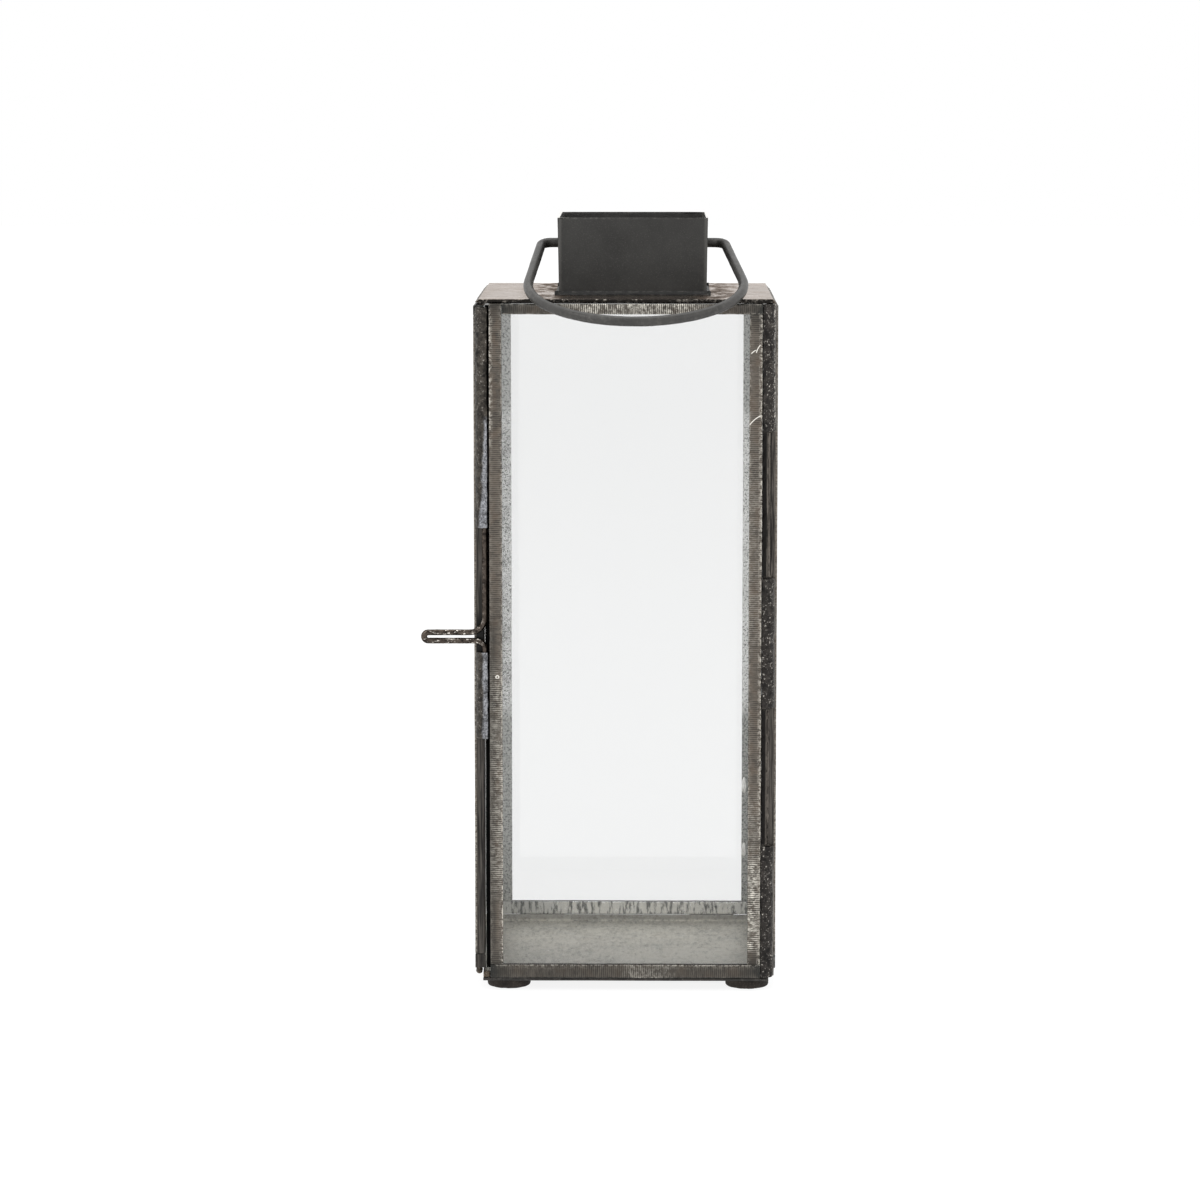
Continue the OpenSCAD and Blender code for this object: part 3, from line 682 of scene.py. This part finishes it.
def channel_strip(panel, strip, material, seed):
    """One folded strip with slightly wavy faces, ribs across it and a nicked, hand-cut mouth."""
    node = f"{panel}_{strip}"
    out = Vector(PANEL_OUT[panel])
    right = Vector((-out.y, out.x, 0))
    inward = {"left_stile": right, "right_stile": -right, "top_rail": -UP, "bottom_rail": UP}[strip]
    along = UP if "stile" in strip else right
    low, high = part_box(node)
    size = high - low
    middle = (low + high) / 2
    length, width, depth = (abs(size.dot(axis)) for axis in (along, inward, out))
    origin = middle - along * length / 2 - inward * width / 2 + out * depth / 2
    outline = channel_outline(width, depth)
    count = round(length / SECTION)
    stations = [0.03 * MM, 0.2 * MM] + [length * i / count for i in range(1, count)]
    stations += [length - 0.2 * MM, length - 0.03 * MM]

    work = bmesh.new()
    names = ("wear", "tin", "inside", "brushed_and_shade", "zinc", "web", "grime")
    layers = {key: work.verts.layers.float.new(key) for key in names}
    run = work.verts.layers.float_vector.new("run")
    rings = []
    for number, a in enumerate(stations):
        end = END_ROUNDING if number in (0, len(stations) - 1) else 0.0
        here = (a, seed * 31 * MM, 0)
        rib = rough_at(here, 1.1 * MM) * 0.02 * MM
        face_wave = FACE_WAVE * (1 + rough_at(here, 19 * MM, 1)) + end
        back_wave = FACE_WAVE * (1 + rough_at(here, 17 * MM, 2)) + end
        mouth = MOUTH_WAVE * (1 + 0.6 * rough_at(here, 8 * MM, 3) + 0.4 * rough_at(here, 1.7 * MM, 4))
        mouth += NICK * max(0.0, rough_at(here, 4.3 * MM, 5) - 0.42)
        fold_wave = FOLD_WAVE * (1 + rough_at(here, 23 * MM, 6)) + end
        ring = []
        for b, c, wear, side in outline:
            new_b = b
            new_c = c
            if b > width - 5 * LIP:
                new_b = b - mouth
            elif b < FOLD:
                new_b = b + fold_wave
            if c < FOLD:
                new_c = c + max(0.0, face_wave + rib)
            elif c > depth - FOLD:
                new_c = c - max(0.0, back_wave + rib)
            point = origin + along * a + inward * new_b - out * new_c
            vert = work.verts.new(point)
            vert[layers["wear"]] = wear * wear_and_highlight_share(node, point, b < width / 2)
            near_mouth = 0.3 + 0.7 * min(1.0, b / (0.6 * width)) if strip.endswith("stile") else 1.0
            vert[layers["tin"]] = tin_share(node, point) * near_mouth if side < 0 else 0.0
            # Painted shade: the two shaded stiles' inner faces keep the dark outer colour
            vert[layers["inside"]] = 1.0 if side > 0 and b > 0 and node not in SHADED else 0.0
            vert[layers["zinc"]] = zinc_share(node, point)
            on_web = side == 0 and b == 0
            # Painted shade: the two shaded stiles' inner folds take the web's dark colour
            inner_fold = node in SHADED and side > 0 and b < 1.2 * MM
            vert[layers["web"]] = 1.0 if on_web or inner_fold else 0.0
            # Painted shadow on the web of the door's front stile, between the pull's legs
            shadow = hump(point.z / MM, 112, 124, 3) if node == "door_right_stile" else 0.0
            vert[layers["brushed_and_shade"]] = 1.0 if strip.endswith("rail") else shadow
            # Darker near the corners and along the front left stile's fold below 120 mm; on a rail's fold,
            # painted shade
            grime = grime_share(strip, point, middle, length / 2, along, b < FOLD)
            if node == "front_left_stile" and b < 1.6 * MM:
                grime = max(grime, 0.6 * hump(point.z / MM, 0, 120, 10))
            vert[layers["grime"]] = grime
            vert[run] = Vector((a, b + (c if side >= 0 else -c), seed * 13 * MM))
            ring.append(vert)
        rings.append(ring)
    for first, second in zip(rings, rings[1:]):
        for i in range(len(first)):
            j = (i + 1) % len(first)
            work.faces.new((first[i], first[j], second[j], second[i]))
    for ring in (rings[0][::-1], rings[-1]):
        cap = work.faces.new(ring)
        bmesh.ops.triangulate(work, faces=[cap], ngon_method="EAR_CLIP")
    bmesh.ops.recalc_face_normals(work, faces=work.faces)
    mesh = bpy.data.meshes.new(node)
    work.to_mesh(mesh)
    work.free()
    finish_piece(node + "_strip", mesh, node, material, 40)


# ---------------------------------------------------------------- the pieces

def build_strips():
    material = strip_metal()
    for p, panel in enumerate(PANEL_OUT):
        for s, strip in enumerate(STRIPS):
            channel_strip(panel, strip, material, 1 + 4 * p + s)


def build_sheets():
    tray_low, tray_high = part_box("base_tray")
    roof_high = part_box("roof_plate")[1]
    stack_low, stack_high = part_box("chimney_shell")

    def chamber_side(point, normal):
        over_floor = point.z > tray_low.z + 0.6 * MM and point.y > tray_low.y + 2 * MM
        within = abs(point.x) < tray_high.x - 0.7 * MM and point.y < tray_high.y - 0.6 * MM
        return 1.0 if over_floor and within else 0.0

    def beside_chimney(point, normal):
        gap = max(stack_low.x - point.x, point.x - stack_high.x)
        return hump(gap, -2 * MM, 7 * MM, 4 * MM)

    # Painted shade: the roof's underside and edges below its top, and faces turned to the front
    def rim_side(point, normal):
        return 1.0 if point.z < roof_high.z - 0.4 * MM or normal.y < -0.5 else 0.0

    def side_walls_top(point, normal):
        beside = min(point.x - stack_low.x, stack_high.x - point.x) < 1.2 * MM
        return 1.0 if beside and normal.z > 0.6 and point.z > stack_high.z - 0.4 * MM else 0.0

    # Painted highlight: a thin lighter line just inside each vertical fold
    def near_fold(point, normal):
        across = point.x if abs(normal.y) > 0.5 else point.y
        low, high = (stack_low.x, stack_high.x) if abs(normal.y) > 0.5 else (stack_low.y, stack_high.y)
        return hump(min(across - low, high - across) / MM, 0.6, 0.9, 4)

    lining = {"inside": chamber_side}
    worked_sheet("tray", "base_tray", tray_metal(), 0.25 * MM, 4 * MM, 0.10 * MM, lining)
    stains_and_rim_shade = {"stain": beside_chimney, "rim": rim_side}
    worked_sheet("roof", "roof_plate", roof_metal(), 0.3 * MM, 4 * MM, 0.10 * MM, stains_and_rim_shade)
    paint = dark_paint("chimney_paint", (0.021, 0.020, 0.0185), (0.038, 0.037, 0.0345), 0.5, 0.62)
    # Painted shade: near-black paint for the bead in the crease at the chimney's foot, and for the door stop
    # in the gap by the door
    shade_black = dark_paint("soot_paint", (0.010, 0.010, 0.010), (0.020, 0.020, 0.019), 0.5, 0.7)
    shading = {"bare": side_walls_top, "sheen": near_fold}
    worked_sheet("chimney", "chimney_shell", paint, 0.3 * MM, 4 * MM, 0.14 * MM, shading)
    worked_sheet("chimney_bead", "chimney_foot_bead", shade_black, 0.2 * MM, 3 * MM, 0.10 * MM)
    # Painted shade: the stop's part deep in the gap is nearly black
    stop_gap_shade = {"gap": lambda point, normal: 1.0 if point.x < -44.1 * MM else 0.0}
    worked_sheet("door_stop_strip", "door_stop", shade_black, 0.12 * MM, 6 * MM, 0.05 * MM, stop_gap_shade)


def build_wires():
    paint = dark_paint("bail_paint", (0.034, 0.033, 0.031), (0.058, 0.056, 0.052), 0.34, 0.48)
    lumpy("bail", "bail_wire", paint, 0.4 * MM, 2, 0.10 * MM, 7 * MM)
    # Painted highlights only on the pull's runs clear of the door
    runs_highlight = {"shine": lambda point: hump(point.x / MM, -80, -48.5, 2)}
    lumpy("pull", "door_pull", pull_metal(), 0.22 * MM, 2, 0.06 * MM, 2.4 * MM, runs_highlight)


def build_solder():
    def blue_bloom(point):
        x, z = point.x / MM, point.z / MM
        edge = -46.3 - 0.05 * max(0.0, 190 - z) if z > 140 else -47.1
        return hump(z, 80, 189, 3) * hump(x + 0.5 * rough_at(point, 3 * MM, 4), edge + 0.4, -40, 0.7)

    dark = solder_metal("dark_solder", (0.010, 0.009, 0.0085), (0.050, 0.044, 0.039), 0.9)
    brown = solder_metal("brown_solder", (0.035, 0.026, 0.019), (0.15, 0.118, 0.085), 0.9)
    # Painted shade: the corner beads go near black inside the notch, behind the panels' outer faces
    deep = {
        "gap": lambda point: hump(abs(point.y) / MM, 0, 47.3, 0.4) * hump(point.x / MM, 0, 46.3, 0.3),
        "drawn": lambda point: hump(abs(point.y) / MM, 0, 47.3, 0.4),
        "rubbed": lambda point: hump(point.x / MM, 48.9, 49.6, 0.3) * hump(point.z / MM, 190, 230, 3),
    }
    for end in ("front", "rear"):
        node = end + "_corner_solder"
        lumpy(end + "_corner_beads", node, dark, 0.4 * MM, 3, 0.55 * MM, 3.2 * MM, deep)
    edge = solder_metal("door_edge_metal", (0.012, 0.0105, 0.009), (0.080, 0.070, 0.058), 0.45)
    bloom = {"bloom": blue_bloom}
    lumpy("door_edge_beads", "door_edge_solder", edge, 0.36 * MM, 3, 0.5 * MM, 3.4 * MM, bloom)
    lumpy("roof_edge_beads", "roof_edge_solder", brown, 0.3 * MM, 2, 0.35 * MM, 3 * MM)
    lumpy("base_beads", "base_solder", brown, 0.3 * MM, 2, 0.35 * MM, 3 * MM)


def drop(name, middle, halves, material, body):
    """A lump of solder, rough and a little pear-shaped, of the given half sizes."""
    work = bmesh.new()
    bmesh.ops.create_icosphere(work, subdivisions=4, radius=1.0)
    for vert in work.verts:
        lump = 0.95 + 0.18 * rough_at(vert.co, 0.6, len(name))
        narrow = 1 - 0.25 * vert.co.z
        spread = Vector((vert.co.x * lump * narrow, vert.co.y * lump, vert.co.z))
        vert.co = Vector(middle) + Vector([a * b for a, b in zip(spread, halves)])
    mesh = bpy.data.meshes.new(name)
    work.to_mesh(mesh)
    work.free()
    add_piece(name, mesh, material, body)


def build_drops():
    """Two bright drips inside, on the back panel's right stile, and a lump at the door's lower end."""
    bright = solder_metal("bright_solder", (0.80, 0.79, 0.75), (1.0, 1.0, 0.97), 1.0)
    drop("upper_drip", (DRIP_X, DRIP_Y, 0.0532), (0.9 * MM, 0.6 * MM, 3.0 * MM), bright, "lantern_body")
    drop("low_drip", (DRIP_X, DRIP_Y, 0.0302), (0.9 * MM, 0.6 * MM, 2.5 * MM), bright, "lantern_body")
    brown = solder_metal("end_solder", (0.025, 0.020, 0.016), (0.12, 0.094, 0.068), 0.9)
    drop("door_end_lump", (-0.0487, -0.0444, 0.0064), (1.15 * MM, 1.5 * MM, 1.7 * MM), brown, "side_door")


def build_end_tab():
    """A folded tab that closes the front end of the door's bottom rail and carries the stile's face down."""
    low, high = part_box("door_bottom_rail")
    thick = 0.25 * MM
    work = bmesh.new()
    bmesh.ops.create_cube(work, size=1.0)
    middle = Vector(((low.x + high.x) / 2, low.y - thick / 2 + 0.1 * MM, (low.z + high.z) / 2))
    size = Vector((high.x - low.x - 0.1 * MM, thick, high.z - low.z - 0.1 * MM))
    for vert in work.verts:
        vert.co = middle + Vector([a * b for a, b in zip(vert.co, size)])
    bmesh.ops.bevel(work, geom=work.edges[:], offset=0.08 * MM, segments=2, profile=0.5, affect="EDGES")
    bmesh.ops.triangulate(work, faces=work.faces)
    sliced(work, 0.8 * MM, 0.1 * MM)
    web = work.verts.layers.float.new("web")
    run = work.verts.layers.float_vector.new("run")
    for vert in work.verts:
        vert[web] = 1.0
        vert[run] = Vector((vert.co.z, high.x - vert.co.x, 0))
        vert.co.y += 0.05 * MM * (1 + rough_at(vert.co, 3 * MM, 4))
    mesh = bpy.data.meshes.new("door_end_tab")
    work.to_mesh(mesh)
    work.free()
    add_piece("door_end_tab", mesh, bpy.data.materials[STRIP_METAL], "side_door")
    mesh.set_sharp_from_angle(angle=math.radians(40))


def build_feet():
    rubber = foot_rubber()
    for node in ("foot_front_left", "foot_front_right", "foot_rear_left", "foot_rear_right"):
        lumpy(node + "_disc", node, rubber, 0.35 * MM, 2, 0.18 * MM, 2.5 * MM)


def build_hinge():
    metal = dark_paint("hinge_metal", (0.10, 0.09, 0.08), (0.17, 0.15, 0.135), 0.35, 0.5)
    for node in ("hinge_body_tubes", "hinge_door_tubes", "hinge_pin"):
        worked_sheet(node + "_worn", node, metal, 0.12 * MM, 5 * MM, 0.05 * MM)


def build_glass():
    glass = pane_glass()
    for panel in PANEL_OUT:
        pane = frame["nodes"][panel + "_glass"]
        pane.data.materials.clear()
        pane.data.materials.append(glass)


# ---------------------------------------------------------------- studio

def studio():
    scene = bpy.context.scene
    scene.view_settings.view_transform = "Standard"
    world = bpy.data.worlds.new("studio")
    scene.world = world
    world.use_nodes = True
    tree = world.node_tree
    tree.nodes.clear()
    surround = add(tree, "Background", None, Color=(1, 1, 1, 1), Strength=1.0)
    tree.links.new(surround.outputs[0], add(tree, "OutputWorld").inputs[0])

    half = 6.0
    mesh = bpy.data.meshes.new("floor")
    corners = [(-half, -half, 0), (half, -half, 0), (half, half, 0), (-half, half, 0)]
    mesh.from_pydata(corners, [], [(0, 1, 2, 3)])
    floor = bpy.data.objects.new("floor", mesh)
    scene.collection.objects.link(floor)
    pale, tree, shader = new_material("pale_floor", Base_Color=(0.2, 0.2, 0.2), Roughness=0.9)
    shader.inputs["Specular IOR Level"].default_value = 0.0
    shader.inputs["Emission Color"].default_value = (1, 1, 1, 1)
    shader.inputs["Emission Strength"].default_value = 0.87
    mesh.materials.append(pale)

    def soft_light(name, place_at, aim, size, power):
        data = bpy.data.lights.new(name, "AREA")
        data.shape = "DISK"
        data.size = size
        data.energy = power
        lamp = bpy.data.objects.new(name, data)
        lamp.location = place_at
        lamp.rotation_euler = (Vector(aim) - Vector(place_at)).to_track_quat("-Z", "Y").to_euler()
        scene.collection.objects.link(lamp)

    middle = (0, 0, 0.13)
    soft_light("key", (-0.9, -0.9, 1.1), middle, 0.8, 4)
    soft_light("fill", (1.1, -0.7, 0.8), middle, 0.9, 2)
    soft_light("top", (0, 0.2, 1.5), middle, 1.0, 5)


def camera():
    """The camera stands a little right of the middle, above the roof, and looks slightly down."""
    data = bpy.data.cameras.new("camera")
    data.sensor_width = 36
    data.lens = CAMERA_LENS
    data.clip_start = 0.05
    data.clip_end = 20
    made = bpy.data.objects.new("camera", data)
    bpy.context.scene.collection.objects.link(made)
    made.location = CAMERA_PLACE
    made.rotation_euler = (math.pi / 2 - math.radians(CAMERA_TILT), 0, math.radians(CAMERA_TURN))
    bpy.context.scene.camera = made


build_strips()
build_sheets()
build_wires()
build_solder()
build_drops()
build_end_tab()
build_feet()
build_hinge()
build_glass()
studio()
camera()
